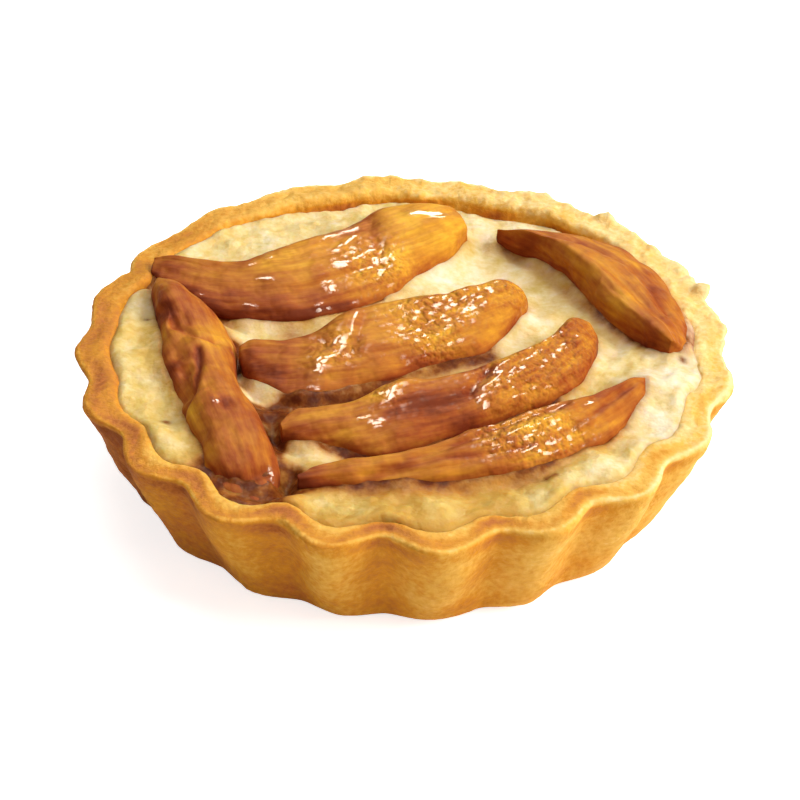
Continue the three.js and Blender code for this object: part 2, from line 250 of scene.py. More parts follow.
SLICES = {
    "apple_slice_back": dict(
        path=[(-39.4, 20, 21.6), (-22, 15.2, 20.3), (-6, 22, 20.5), (9.2, 31.6, 21)],
        section=LEANING_SECTION, width=16.4, thickness=8.2, lean=2, ridges=1.3,
        front=[
            (0, 1), (0.01, 2.4), (0.05, 4), (0.13, 6), (0.23, 7.4), (0.31, 8.2), (0.43, 9.6), (0.53, 10),
            (0.6, 10), (0.67, 9.4), (0.72, 7.9), (0.77, 6.1), (0.84, 4.9), (0.9, 4.4), (0.95, 3), (1, 1.6),
        ],
        back=[
            (0, 0.2), (0.03, 0.8), (0.07, 1), (0.13, 1.2), (0.19, 1.8), (0.24, 2.8), (0.31, 4.3),
            (0.39, 5.4), (0.48, 6), (0.63, 6.6), (0.69, 6.9), (0.75, 7.8), (0.8, 8), (0.85, 7.2),
            (0.91, 6), (0.96, 4.6), (1, 2.6),
        ],
        crown=[
            (0, 0.2), (0.05, 0.36), (0.12, 0.5), (0.24, 0.74), (0.4, 0.92), (0.64, 0.9), (0.78, 1),
            (0.94, 0.92), (1, 0.6),
        ],
        forms=[(0.82, 0.4, 0.4, 8), (0.66, 0.8, -0.6, 4), (0.45, 0.1, 0.3, 7), (0.25, -0.2, -0.3, 7)],
        toast=0.43,
        browned=[
            (0.05, -0.2, 7, 0.1), (0.2, -0.8, 5, 0.16), (0.34, -1.0, 6, 0.26), (0.45, -1.1, 4, 0.2),
            # The darker spot at 0.68 along and 0.7 across is a painted shadow where the slice steps down
            (0.62, -0.25, 3.2, 0.2), (0.68, 0.7, 4, 0.2), (0.85, 0.2, 9, -0.4), (0.5, 0.35, 7, -0.12),
            (0.22, 0.4, 4, 0.14),
        ],
        sugared=[(0.62, -0.35, 4), (0.68, -0.6, 4)],
        streaks=[
            ([(-39, 16.5), (-26, 16.7), (-15.6, 23.8), (-6, 30.6)], 1.0, 0.2, 0),
            ([(-26.7, 13.5), (-14, 14.8), (-4.4, 18.7)], 0.5, 0.16, 0.1),
            ([(-34.4, 12.1), (-29, 8.3), (-19.6, 5.4), (-9.7, 6.6), (-1.8, 11.7)], 1.6, 0.2, 0),
            ([(-5.7, 28.5), (-3.8, 17.6)], 1.2, 0.22, 0.3),
        ],
        wet=[
            ([(-21.4, 18), (-21.4, 20)], 0.9), ([(-22.1, 13.4), (-20.7, 13.1)], 0.8),
            ([(-12.8, 23.1), (-8.1, 26.1)], 0.7), ([(-10.8, 20.4), (-8.2, 23.6)], 0.7),
            ([(-10.6, 16.7), (-9.2, 17)], 1), ([(-4.6, 18.8), (-3.2, 19.4)], 0.9),
            ([(-12, 13), (-11.3, 11.6)], 0.9), ([(-12.7, 8.2), (-11.2, 7.4)], 1.1),
            ([(-9, 8.8), (-7.6, 9.4)], 1.2), ([(1.9, 14.3), (3.4, 14.9)], 0.8),
            ([(0.6, 29.7), (5.9, 30.1)], 1), ([(-31.8, 10.7), (-31.5, 10.7)], 0.5),
            ([(-24.2, 8), (-23.1, 7.8)], 0.7), ([(-23.9, 16.5), (-23.2, 16.8)], 0.5),
        ],
    ),
    "apple_slice_middle": dict(
        path=[(-24.3, -3.9, 19.8), (-9.6, -3.4, 19.9), (6, 2.8, 20.1), (18.2, 12.2, 20.4)],
        section=LEANING_SECTION, width=12.8, thickness=8.2, lean=2, ridges=1,
        front=[
            (0, 0.5), (0.01, 3), (0.06, 5.8), (0.14, 8.6), (0.19, 9.2), (0.27, 8.9), (0.38, 7.8), (0.51, 6.6),
            (0.58, 6.3), (0.69, 7.2), (0.74, 7), (0.81, 5.4), (0.9, 3.6), (0.97, 2.2), (1, 1),
        ],
        back=[
            (0, 0.4), (0.03, 1.5), (0.11, 1.6), (0.17, 2.3), (0.24, 3.6), (0.28, 4.4), (0.34, 5.9),
            (0.4, 7), (0.5, 7.3), (0.58, 6.9), (0.64, 6.2), (0.72, 5.4), (0.79, 4.8), (0.86, 4.3),
            (0.94, 3.8), (1, 1.5),
        ],
        crown=[
            (0, 0.5), (0.04, 0.62), (0.17, 0.66), (0.25, 0.82), (0.36, 1), (0.55, 0.95), (0.8, 0.96),
            (0.95, 0.86), (1, 0.5),
        ],
        forms=[(0.38, 0.5, 0.5, 5), (0.2, 0.5, -0.4, 5), (0.54, 0.1, -0.4, 4)],
        toast=0.39,
        browned=[
            (0.06, -0.2, 5, 0.2), (0.13, -0.7, 4, 0.2), (0.8, 0.5, 8, 0.1), (0.5, -0.9, 5, 0.1),
            (0.39, 0.85, 2.6, 0.2), (0.22, 0.4, 3, 0.1), (0.3, -1.3, 5, 0.15),
        ],
        sugared=[(0.62, 0.3, 5), (0.78, 0.4, 5), (0.58, -0.6, 4), (0.95, 0, 4), (0.3, -0.2, 3)],
        streaks=[
            ([(-22.7, -5.1), (-15.6, -2.7), (-8.2, 3), (-5.6, 5.4)], 0.9, 0.22, 0),
            ([(-6.1, 1.9), (-7.2, -3.9)], 0.8, 0.2, 0.3),
            ([(-21.8, -7.3), (-17.4, -9.7)], 1.4, 0.25, 0.2),
            ([(-20.5, -13.3), (-13.1, -15.4), (-3.3, -12.3), (6.1, -8.2)], 1.3, 0.2, 0),
        ],
        wet=[
            ([(-7.6, -2.7), (-6.7, 2)], 0.8), ([(-12.4, -8.1), (-9.5, -3.9)], 1.3),
            ([(-13.6, -9.8), (-12.4, -9.8)], 1), ([(-13.6, -12.5), (-12.4, -12.5)], 0.9),
            ([(8.9, 3.9), (10.1, 4.7)], 0.8),
        ],
    ),
    "apple_slice_front_middle": dict(
        path=[(-17.4, -22.8, 19.6), (-3.5, -19.8, 19.7), (14, -12.4, 20), (28.2, 2, 20.6)],
        section=LEANING_SECTION, width=11.2, thickness=7.8, lean=2, ridges=1,
        front=[
            (0, 0.6), (0.02, 1.2), (0.05, 1.8), (0.1, 2.5), (0.15, 3.8), (0.19, 5.4), (0.24, 6.8),
            (0.3, 7), (0.36, 6.4), (0.42, 5.5), (0.48, 4.9), (0.6, 4.6), (0.68, 5.3), (0.76, 6.1),
            (0.82, 5.8), (0.89, 4.6), (0.95, 3), (1, 1),
        ],
        back=[
            (0, 1.2), (0.03, 3), (0.06, 3.6), (0.11, 3.4), (0.17, 3.2), (0.23, 3.6), (0.28, 4.4),
            (0.33, 5), (0.36, 5.1), (0.41, 4.5), (0.47, 4.1), (0.61, 3.9), (0.68, 3.5), (0.73, 2.8),
            (0.8, 2.5), (0.86, 2.5), (0.92, 2.8), (0.97, 2.8), (1, 1.2),
        ],
        crown=[
            (0, 0.5), (0.05, 0.72), (0.2, 0.84), (0.36, 1), (0.55, 0.95), (0.8, 0.92), (0.95, 0.88),
            (1, 0.5),
        ],
        forms=[(0.36, 0.5, 0.4, 5), (0.16, 0.4, -0.3, 5), (0.57, 0.6, -0.5, 3.5)],
        toast=0.46,
        browned=[
            (0.37, -0.25, 4.2, 0.3), (0.58, 0.7, 2.6, 0.35), (0.48, -0.6, 3, 0.25), (0.97, -0.4, 4, 0.14),
            (0.2, -0.3, 5, -0.04), (0.75, 0.5, 6, 0.01), (0.3, -1.2, 5, 0.12), (0.86, -0.6, 4, 0.1),
        ],
        sugared=[(0.64, -0.1, 6), (0.78, 0.1, 6), (0.9, 0, 5), (0.3, 0.5, 3)],
        streaks=[
            ([(-1.8, -20.7), (4, -19.2), (9.9, -15.3)], 1.0, 0.25, 0.2),
            ([(9.3, -15.8), (12, -11.3)], 0.7, 0.3, 0.4),
            ([(-12.4, -25.7), (-6.3, -28.3), (1.3, -27.1), (9.1, -21.6)], 1.3, 0.2, 0),
        ],
        wet=[
            ([(-2.2, -18.5), (-1.8, -15.9)], 0.8), ([(-4.3, -22.6), (-3.4, -22.4)], 0.9),
            ([(-6.1, -21.5), (-5.4, -21.5)], 0.7), ([(10.5, -14.6), (11, -18)], 0.8),
            ([(11.2, -21), (11.6, -24)], 0.8), ([(11.5, -14), (14.6, -10.4)], 1),
        ],
    ),
    "apple_slice_front": dict(
        path=[(-14.6, -33.9, 19.9), (3.9, -30.8, 19.9), (21, -24.4, 20.1), (35, -10.9, 20.9)],
        section=LEANING_SECTION, width=9.6, thickness=7.2, lean=2, ridges=2.4,
        front=[
            (0, 0.4), (0.03, 0.9), (0.08, 1.1), (0.15, 1.4), (0.24, 2.1), (0.29, 2.6), (0.43, 3.5), (0.58, 4),
            (0.74, 4.2), (0.81, 4), (0.89, 3.1), (0.96, 1.8), (1, 0.3),
        ],
        back=[
            (0, 0.6), (0.03, 1.9), (0.08, 2.5), (0.15, 2.5), (0.23, 2.5), (0.28, 2.8), (0.33, 2.9),
            (0.39, 3.5), (0.45, 4.2), (0.51, 4.6), (0.64, 5), (0.74, 4.2), (0.78, 3.2), (0.82, 2.5),
            (0.87, 2.2), (0.93, 1.8), (1, 0.3),
        ],
        crown=[
            (0, 0.4), (0.05, 0.55), (0.2, 0.66), (0.35, 0.84), (0.55, 1), (0.75, 0.95), (0.85, 0.75),
            (0.95, 0.6), (1, 0.3),
        ],
        forms=[(0.62, 0.4, 0.3, 5), (0.42, 0.3, -0.3, 4)],
        toast=0.52,
        browned=[
            (0.02, 0, 3.5, 0.2), (0.2, 0, 6, -0.22), (0.6, 0.5, 6, -0.14), (0.5, -0.9, 9, 0.08),
            (0.97, 0, 4, 0.05), (0.8, 0.2, 4, 0.08),
        ],
        sugared=[(0.58, 0.2, 5), (0.66, -0.1, 4), (0.5, 0.4, 3)],
        streaks=[
            (
                [(-4.9, -34), (4.5, -31), (14, -29.2), (20.5, -27), (27.3, -20.5), (32.6, -13.8)],
                0.7, 0.25, 0.3,
            ),
            ([(-3, -32.6), (6.4, -28.8), (15.4, -23.6), (22.8, -19.7)], 0.6, 0.25, 0.3),
        ],
        wet=[
            ([(15, -26.6), (17.6, -25.9)], 1), ([(17.3, -29.1), (18.4, -28.4)], 0.9),
            ([(20.7, -20.4), (22.4, -20.2)], 0.6), ([(21.1, -24.2), (21.9, -24.2)], 0.7),
            ([(11.4, -24.3), (11.9, -24.3)], 0.5), ([(25.4, -19.4), (26.5, -18.9)], 0.6),
        ],
    ),
    "apple_slice_left": dict(
        path=[(-19.2, -36.6, 18.5), (-24.2, -22.6, 20.1), (-29.9, -6, 20.1), (-38, 13.6, 21)],
        section=FLAT_SECTION, width=11, thickness=7.6, lean=2, ridges=1,
        front=[
            (0, 1.5), (0.02, 2.5), (0.08, 3.8), (0.13, 4.8), (0.26, 4.6), (0.38, 4.4), (0.44, 3.9),
            (0.5, 3.8), (0.56, 4.6), (0.63, 6), (0.67, 6.5), (0.72, 6.4), (0.78, 6), (0.83, 5.3),
            (0.88, 4.6), (0.96, 2.8), (1, 0.8),
        ],
        back=[
            (0, 2.5), (0.04, 4), (0.09, 5.2), (0.14, 5.9), (0.2, 5.4), (0.27, 5.2), (0.4, 5.6), (0.48, 5.5),
            (0.57, 5.6), (0.64, 5.5), (0.72, 4.6), (0.8, 3.2), (0.9, 2.3), (0.97, 1.7), (1, 0.5),
        ],
        crown=[
            (0, 0.3), (0.06, 0.5), (0.11, 0.66), (0.18, 0.92), (0.25, 1), (0.45, 1), (0.6, 0.9),
            (0.74, 0.82), (0.8, 0.98), (0.92, 0.98), (1, 0.5),
        ],
        forms=[
            (0.6, 0.6, -1.2, 2.6), (0.54, 0.65, -0.8, 2.2), (0.67, 0.5, -0.8, 2.4),
            (0.34, 0.0, -0.7, 1.6), (0.77, 0.4, -0.9, 1.6), (0.76, 0.0, -0.6, 1.6),
            (0.62, -0.2, 0.4, 3), (0.87, 0.0, 0.3, 4),
        ],
        toast=0.55,
        browned=[
            (0.03, 0, 4.5, 0.14), (0.1, 0, 4, 0.06), (0.88, 0.4, 3.5, 0.1), (0.34, 0.0, 1.4, 0.4),
            (0.65, -0.5, 4.5, -0.24), (0.58, 0.7, 3, 0.2), (0.3, -0.4, 5, -0.04), (0.8, 0.3, 2.4, 0.2),
            (0.83, 0.5, 2.4, 0.1), (0.7, 0.5, 3, -0.1),
        ],
        sugared=[],
        streaks=[
            ([(-30.2, -6), (-29.7, -10.3), (-30, -15.3), (-31.4, -19.7)], 0.6, 0.5, 0.5),
            ([(-36.3, 4.7), (-33.9, 0), (-30.7, -2.9), (-28, -3.6)], 0.8, 0.34, 0.6),
            ([(-35, 4.5), (-32.5, 1)], 1.4, 0.14, 0.5),
            ([(-27.4, -31.3), (-24.8, -33.5), (-21.5, -33.9), (-18.6, -31.6)], 0.8, 0.3, 0.7),
            ([(-25.7, -3.9), (-23.8, -10), (-21.7, -17.4), (-19, -24.5), (-17.9, -30.5)], 0.5, 0.35, 0),
            ([(-31.6, -11), (-31.6, -16)], 1.4, 0.1, 0.9),
        ],
        wet=[([(-27, -19.5), (-26.2, -20)], 0.6), ([(-18.2, -31), (-17.8, -33)], 0.5)],
    ),
    "apple_slice_right": dict(
        path=[(40, -2.8, 20.6), (34.6, 9.2, 20.4), (26.2, 23, 20.4), (14.6, 30.6, 20.4)],
        section=RIDGED_SECTION, width=10.6, thickness=8.4, lean=-2, ridges=2.2,
        front=[
            (0, 1.4), (0.04, 3.2), (0.14, 5.2), (0.27, 6.8), (0.43, 8.2), (0.55, 8), (0.68, 6.6), (0.77, 4.8),
            (0.86, 3.2), (0.95, 1.8), (1, 0.4),
        ],
        back=[
            (0, 1.2), (0.03, 2), (0.09, 2.9), (0.22, 4), (0.37, 4.6), (0.54, 4), (0.71, 2.6), (0.86, 1.2),
            (0.95, 0.7), (1, 0.3),
        ],
        crown=[(0, 0.6), (0.05, 0.78), (0.2, 0.9), (0.45, 1), (0.7, 0.94), (0.88, 0.72), (1, 0.3)],
        forms=[(0.4, 0.1, 0.3, 6), (0.6, 0.1, -0.3, 4)],
        toast=0.57,
        browned=[
            (0.25, 0.9, 4, -0.28), (0.45, 0.85, 4, -0.26), (0.65, 0.7, 4, -0.18), (0.4, -0.4, 5, -0.06),
            (0.65, -0.7, 6, -0.1),
        ],
        sugared=[],
        streaks=[
            ([(18, 26.7), (27.7, 23.6), (34.7, 16.7), (39.3, 5)], 0.7, 0.2, 0.3),
            ([(20, 28), (28.5, 25.4), (36, 18)], 0.6, -0.15, 0),
            ([(17.9, 23.8), (24.6, 16.6), (30.1, 7.4), (36.2, -1.8)], 1.2, 0.1, 0),
        ],
        wet=[],
    ),
}


# Editing

def object_mode():
    """Leaves edit mode, with nothing selected."""
    if bpy.context.object and bpy.context.object.mode != "OBJECT":
        bpy.ops.object.mode_set(mode="OBJECT")
    bpy.ops.object.select_all(action="DESELECT")


def alone(piece):
    """Makes one piece the only selected one, and the active one."""
    object_mode()
    piece.select_set(True)
    bpy.context.view_layer.objects.active = piece


def edit(piece):
    """Opens one piece for editing corner by corner, with nothing selected."""
    alone(piece)
    bpy.ops.object.mode_set(mode="EDIT")
    bpy.context.tool_settings.mesh_select_mode = (True, False, False)
    bpy.ops.mesh.select_all(action="DESELECT")


def pick(piece, test):
    """Selects the corners that pass a test, and nothing else."""
    mesh = bmesh.from_edit_mesh(piece.data)
    for corner in mesh.verts:
        corner.select = test(corner)
    mesh.select_flush_mode()
    bmesh.update_edit_mesh(piece.data)


def pick_nearest(piece, place):
    """Selects the one corner nearest to a place."""
    mesh = bmesh.from_edit_mesh(piece.data)
    nearest = min(mesh.verts, key=lambda corner: (corner.co - place).length_squared)
    pick(piece, lambda corner: corner == nearest)


def picked(piece):
    """The places of the selected corners."""
    mesh = bmesh.from_edit_mesh(piece.data)
    return [corner.co.copy() for corner in mesh.verts if corner.select]


def press(push, reach, falloff="SMOOTH"):
    """Moves what is selected, and what lies within reach of it by less and less."""
    bpy.ops.transform.translate(
        value=push, use_proportional_edit=True, proportional_edit_falloff=falloff, proportional_size=reach,
    )


def close_holes(piece):
    """Fills every open edge of a piece, and turns all its faces outwards."""
    edit(piece)
    bpy.ops.mesh.select_non_manifold(
        use_wire=False, use_multi_face=False, use_non_contiguous=False, use_verts=False,
    )
    bpy.ops.mesh.fill_holes(sides=0)
    bpy.ops.mesh.select_all(action="SELECT")
    bpy.ops.mesh.normals_make_consistent(inside=False)
    bpy.ops.object.mode_set(mode="OBJECT")


def finish_with(piece, kind, **settings):
    """Adds a modifier to a piece, sets it and applies it."""
    alone(piece)
    bpy.ops.object.modifier_add(type=kind)
    modifier = piece.modifiers[-1]
    for name, value in settings.items():
        setattr(modifier, name, value)
    bpy.ops.object.modifier_apply(modifier=modifier.name)


# Fine relief

def corners(piece):
    """The places of a piece's corners, one row each."""
    places = np.empty(len(piece.data.vertices) * 3, np.float32)
    piece.data.vertices.foreach_get("co", places)
    return places.reshape(-1, 3).astype(float)


def set_corners(piece, places):
    """Moves a piece's corners to their places, one row each."""
    piece.data.vertices.foreach_set("co", np.asarray(places, np.float32).ravel())
    piece.data.update()


def lift(piece, amounts):
    """Moves each corner of a piece out along its normal."""
    normals = np.empty(len(piece.data.vertices) * 3, np.float32)
    piece.data.vertices.foreach_get("normal", normals)
    set_corners(piece, corners(piece) + normals.reshape(-1, 3) * np.asarray(amounts)[:, None])


def waves(places, size, seed, count=36):
    """Smooth uneven ups and downs over a surface, about size across and mostly between -1 and 1."""
    draw = np.random.default_rng(seed)
    total = np.zeros(len(places))
    for _ in range(count):
        heading = draw.normal(size=3)
        heading *= 2 * math.pi / (size * draw.uniform(1.2, 2.6) * np.linalg.norm(heading))
        total += np.sin(places @ heading + draw.uniform(0, 2 * math.pi))
    return 0.6 * total / math.sqrt(count / 2)


def blisters(places, chance, smallest, largest, count, seed):
    """Small round domes set at places drawn by chance: how far each corner stands out, 0 to 1. The draw goes by
    corner number, so the domes lie elsewhere in a run where the mesh has its corners in another order."""
    draw = np.random.default_rng(seed)
    centres = places[draw.choice(len(places), size=count, p=chance / chance.sum())]
    sizes = draw.uniform(smallest, largest, count)
    tree = KDTree(len(places))
    for index, place in enumerate(places):
        tree.insert(place, index)
    tree.balance()
    heights = np.zeros(len(places))
    for centre, size in zip(centres, sizes):
        for _, index, distance in tree.find_range(centre, size):
            dome = (1 - (distance / size) ** 2) * size / largest
            heights[index] = max(heights[index], dome)
    return heights


def paint(piece, name, values):
    """Stores a number, or three, for each corner of a piece, for its material to read."""
    values = np.asarray(values, np.float32)
    if values.ndim == 1:
        piece.data.attributes.new(name, "FLOAT", "POINT").data.foreach_set("value", values)
    else:
        piece.data.attributes.new(name, "FLOAT_VECTOR", "POINT").data.foreach_set("vector", values.ravel())


def surface_of(piece):
    """A piece's surface, for finding what lies over a point or near it."""
    return BVHTree.FromObject(piece, bpy.context.evaluated_depsgraph_get())


def smooth(low, high, values):
    """0 below low, 1 above high, and an even ease between."""
    share = np.clip((np.asarray(values, float) - low) / (high - low), 0, 1)
    return share * share * (3 - 2 * share)


def between(low, high, share):
    """From low to high as a share goes from 0 to 1."""
    return low + (high - low) * share


def near(values, centre, reach):
    """1 at a centre, easing to almost 0 two reaches away from it."""
    return np.exp(-((values - centre) / reach) ** 2)


def add_up(terms):
    """The sum of amounts, each with the share of it that every corner gets."""
    return sum(amount * share for amount, share in terms)


def bearings(places):
    """The bearing of each place, from the front towards +X."""
    return np.arctan2(places[:, 0], -places[:, 1])


def from_axis(places):
    """How far each place lies from the tart's upright axis."""
    return np.hypot(places[:, 0], places[:, 1])


def towards_side(turn, degrees, low, high):
    """1 on the side that a bearing in degrees gives, easing to 0 away from it."""
    return smooth(low, high, np.cos(turn - math.radians(degrees)))


# The fluted rings of the shell

def groove_bearings():
    """The bearing of each groove. Those at the left stand further apart."""
    found = []
    for groove in range(FLUTES):
        even = FLUTE_PHASE + 2 * math.pi * groove / FLUTES
        bearing = even
        for _ in range(8):
            bearing = even - FLUTE_STRETCH * ((1 - math.sin(bearing)) / 2) ** 2
        found.append(bearing)
    return found


def towards(bearing, radius, height=0.0):
    """The place at a bearing, a radius and a height."""
    return Vector((radius * math.sin(bearing), -radius * math.cos(bearing), height))


def lay_ring(piece, radius, height, fade=0.0, level=1.0):
    """Draws the selected edge out to a new ring, its crests at a radius and its middle at a height.
    fade evens out the flutes, and level keeps that share of the ring's ups and downs."""
    bpy.ops.mesh.extrude_edges_move()
    places = picked(piece)
    middle = sum(place.z for place in places) / len(places)
    bpy.ops.transform.translate(value=(0, 0, height - middle))
    if fade:
        bpy.ops.transform.tosphere(value=fade, center_override=(0, 0, height))
    grow = radius / max(place.xy.length for place in picked(piece))
    bpy.ops.transform.resize(value=(grow, grow, level), center_override=(0, 0, height))


# Pastry shell

def wall_radius(share):
    """How far out the wall stands, at a share of its height."""
    return FOOT_RADIUS + (RIM_RADIUS - FOOT_RADIUS) * share + WALL_BELLY * math.sin(math.pi * share)


def make_pastry_shell():
    """The crust: a fluted lip, drawn down into the wall and foot, and inwards over the rim to the floor."""
    shell = fluted_lip()
    rim = {corner.index for corner in bmesh.from_edit_mesh(shell.data).verts}
    for ring in range(1, WALL_RINGS):
        share = 1 - ring / WALL_RINGS
        fade = HIGH_WALL_FADE if share > LOW_WALL_SHARE else LOW_WALL_FADE
        lay_ring(shell, wall_radius(share), LIP_HEIGHT * share, fade, RING_LEVEL)
        if ring == PRESSED_RING:
            press_side_wall(shell)
    for inset, height, fade, level in FOOT_PROFILE:
        lay_ring(shell, FOOT_RADIUS - inset * MM, height * MM, fade, level)
    pick(shell, lambda corner: corner.index in rim)
    for inset, rise, fade, step in RIM_PROFILE:
        lay_ring(shell, RIM_RADIUS - inset * MM, RIM_HEIGHT + rise * MM, fade)
        bpy.ops.transform.translate(value=(-RIM_STEP_LEFT * step * MM, -step * MM, 0))
    lay_ring(shell, wall_radius(0.5) - WALL_THICKNESS, RIM_HEIGHT / 2, fade=0.2, level=0.3)
    lay_ring(shell, wall_radius(0.2) - FLOOR_CORNER, FLOOR_HEIGHT, fade=0.3, level=0)
    for radius in FLOOR_RINGS:
        lay_ring(shell, radius * MM, FLOOR_HEIGHT, level=0)
    finish_with(shell, "SUBSURF", levels=2, render_levels=2)
    close_holes(shell)
    draw_out_crumbs(shell)
    paint_bake_and_light(shell)
    roughen_crust(shell)
    return shell


def fluted_lip():
    """The lip's ring with its grooves pressed in, a little higher at the back and left, open for editing."""
    bpy.ops.mesh.primitive_circle_add(vertices=SHELL_COLUMNS, radius=RIM_RADIUS, location=(0, 0, 0))
    ring = bpy.context.object
    ring.name = "fluted_crust"
    edit(ring)
    bpy.ops.mesh.select_all(action="SELECT")
    bpy.ops.transform.translate(value=(0, 0, LIP_HEIGHT))
    draw = random.Random(7)
    for bearing in groove_bearings():
        pick_nearest(ring, towards(bearing, RIM_RADIUS, LIP_HEIGHT))
        depth = RIM_FLUTE_DEPTH * flute_share(bearing) * draw.uniform(0.9, 1.1)
        press(towards(bearing, (GROOVE_SHARP_SHARE - 1) * depth), GROOVE_REACH)
        press(towards(bearing, -GROOVE_SHARP_SHARE * depth), GROOVE_REACH / 2, "SHARP")
    pick_nearest(ring, towards(RIM_NICK_BEARING, RIM_RADIUS, LIP_HEIGHT))
    press(towards(RIM_NICK_BEARING, -RIM_NICK_DEPTH), RIM_NICK_REACH, "SHARP")
    rises = [(math.radians(degrees), rise, reach) for degrees, rise, reach in BROAD_RISES]
    for _ in range(SMALL_RISES):
        bearing = draw.uniform(-math.pi, math.pi)
        rise = draw.uniform(-SMALL_RISE, SMALL_RISE)
        rises.append((bearing, rise, draw.uniform(*SMALL_RISE_REACH)))
    for bearing, rise, reach in rises:
        pick_nearest(ring, towards(bearing, RIM_RADIUS, LIP_HEIGHT))
        press((0, 0, rise * MM), reach * MM)
    bpy.ops.mesh.select_all(action="SELECT")
    return ring


def flute_share(bearing):
    """How deep the lip's grooves are, as a share of those at the front."""
    return BACK_FLUTE_SHARE + (1 - BACK_FLUTE_SHARE) * ((1 + math.cos(bearing)) / 2) ** SIDE_FLUTE_EASE


def press_side_wall(shell):
    """Presses the selected ring of the wall inwards at the place that reaches furthest towards each shallow
    groove. The dips at the sides and back then lie up to 9 degrees beside the grooves of the lip."""
    ring = {corner.index for corner in bmesh.from_edit_mesh(shell.data).verts if corner.select}
    bpy.ops.mesh.hide(unselected=True)
    places = picked(shell)
    for bearing in groove_bearings():
        depth = RIM_FLUTE_DEPTH * max(0, LEAST_FLUTE_SHARE - flute_share(bearing))
        if depth:
            pick_nearest(shell, max(places, key=lambda place: place.dot(towards(bearing, 1))))
            press(towards(bearing, -depth), GROOVE_REACH)
    bpy.ops.mesh.reveal(select=False)
    pick(shell, lambda corner: corner.index in ring)


def draw_out_crumbs(shell):
    """Pulls the few crumbs out of the rim's edge."""
    edit(shell)
    for degrees, outward, upward, width in CRUMBS:
        bearing = math.radians(degrees)
        pick_nearest(shell, towards(bearing, RIM_RADIUS - CRUMB_INSET, CRUMB_HEIGHT))
        press(towards(bearing, outward * MM, upward * MM), width * MM, "ROOT")
    bpy.ops.object.mode_set(mode="OBJECT")


def roughen_crust(shell):
    """Gives the baked dough soft lumps and a fine crumb, coarser at the back and right, and none under
    the foot."""
    places = corners(shell)
    height = places[:, 2]
    crumbly = towards_side(bearings(places), 140, -0.2, 0.9) * smooth(14 * MM, 19 * MM, height)
    relief = np.zeros(len(places))
    for size, rise, more, seed in CRUST_RELIEF:
        relief += waves(places, size * MM, seed) * (rise + more * crumbly) * MM
    lift(shell, relief * smooth(0.3 * MM, 2.5 * MM, height))


def paint_bake_and_light(shell):
    """Stores how the crust has baked together with painted light and shade: darkest in its grooves and at the
    left, with painted shade there, and palest at the back and right, where the key light falls, with painted
    light there and a paler bake."""
    places = corners(shell)
    turn = bearings(places)
    height = places[:, 2]
    inset = lip_radius(turn, from_axis(places), height) - from_axis(places)
    groove = groove_share(turn)
    on_rim = smooth(19.3 * MM, 20.1 * MM, height)
    on_wall = 1 - on_rim
    sunny = between(0.5, 1, np.cos(turn - math.radians(120)))
    shady = 1 - sunny
    front = towards_side(turn, 10, -0.4, 0.8)
    left = towards_side(turn, -75, 0.3, 1)
    hollow = near(inset, between(1.5, 2, groove) * MM, 0.9 * MM) * on_rim
    outer_edge = near(inset, 0.4 * MM, 0.35 * MM) * on_rim
    below_lip = near(height, 18.6 * MM, 1.1 * MM) * on_wall
    under_edge = near(inset, 0, 0.7 * MM) * smooth(18.8 * MM, 19.6 * MM, height)
    rim_groove = groove * on_rim * smooth(0.8 * MM, 2 * MM, inset)
    front_left_rim = on_rim * towards_side(turn, -40, 0.8, 1) * smooth(0.8 * MM, 1.8 * MM, inset)
    bake = CRUST_TONE + add_up([
        # All over
        # Paler on the back right, where the key light falls: painted light, with a paler bake there too
        (-0.28, sunny),
        (0.045, waves(places, 5 * MM, 8)),
        # The rim, from its outer edge inwards
        # The rim paler still on the lit side: painted light
        (-0.16, sunny * on_rim),
        # Darker at the outer edge just below the rim's top, on the shaded side: painted shade
        (0.1, under_edge * shady ** 2),
        # A paler line along the rim's outer edge, brightest on the lit side: a painted highlight
        (-1, outer_edge * between(0.18, 0.24, sunny)),
        # Darker in the rim's hollow by the grooves at the front, on the shaded side: painted shade
        (0.22, hollow * between(0.6, 1.5, groove) * shady * between(0.3, 1, front)),
        # Darker in the rim's grooves, less on the lit side: painted shade
        (0.12, rim_groove * (1 - 0.6 * sunny) * between(0.25, 1, front)),
        (-0.1, front * on_rim * smooth(2.4 * MM, 3.4 * MM, inset)),
        (-0.16, front_left_rim),
        (0.08, on_rim * towards_side(turn, -97, 0.7, 1)),
        # Darker on the rim's inner side, down towards the cream: painted shade
        (0.08, smooth(4.6 * MM, 5.6 * MM, inset)),
        # The wall, from the lip down
        # A darker band under the lip, most in the grooves: painted shade under the overhang
        (0.22, below_lip * between(0.3, 1, groove)),
        # Darker in the wall's grooves: painted shade
        (0.15, groove * on_wall),
        (-0.1, front * on_wall),
        # Darker on the left, away from the key light: painted shade
        (0.08, left * on_wall),
        (0.22, left * towards_side(turn, -90, 0.5, 1) * on_wall),
        # Paler low on the wall, lifting the shade near the foot: painted light
        (-0.08, smooth(4 * MM, 0, height) * on_wall),
    ])
    paint(shell, "bake", np.clip(bake, 0, 1))


def groove_share(turn):
    """1 at the bottom of a groove and 0 on the crests between, at each corner's bearing."""
    nearest = np.full(len(turn), math.pi)
    for bearing in groove_bearings():
        away = np.abs((turn - bearing + math.pi) % (2 * math.pi) - math.pi)
        nearest = np.minimum(nearest, away)
    return 1 - smooth(0, math.pi / FLUTES, nearest)


def lip_radius(turn, radius, height):
    """How far out the lip stands at each corner's bearing."""
    spans = 400
    span = np.floor((turn + math.pi) / (2 * math.pi) * spans).astype(int) % spans
    lip = np.zeros(spans)
    np.maximum.at(lip, span, np.where(height > 18 * MM, radius, 0))
    lip = sum(np.roll(lip, shift) for shift in (-2, -1, 0, 1, 2)) / 5
    middles = (np.arange(spans) + 0.5) / spans * 2 * math.pi - math.pi
    return np.interp(turn, middles, lip, period=2 * math.pi)


# Apple slices

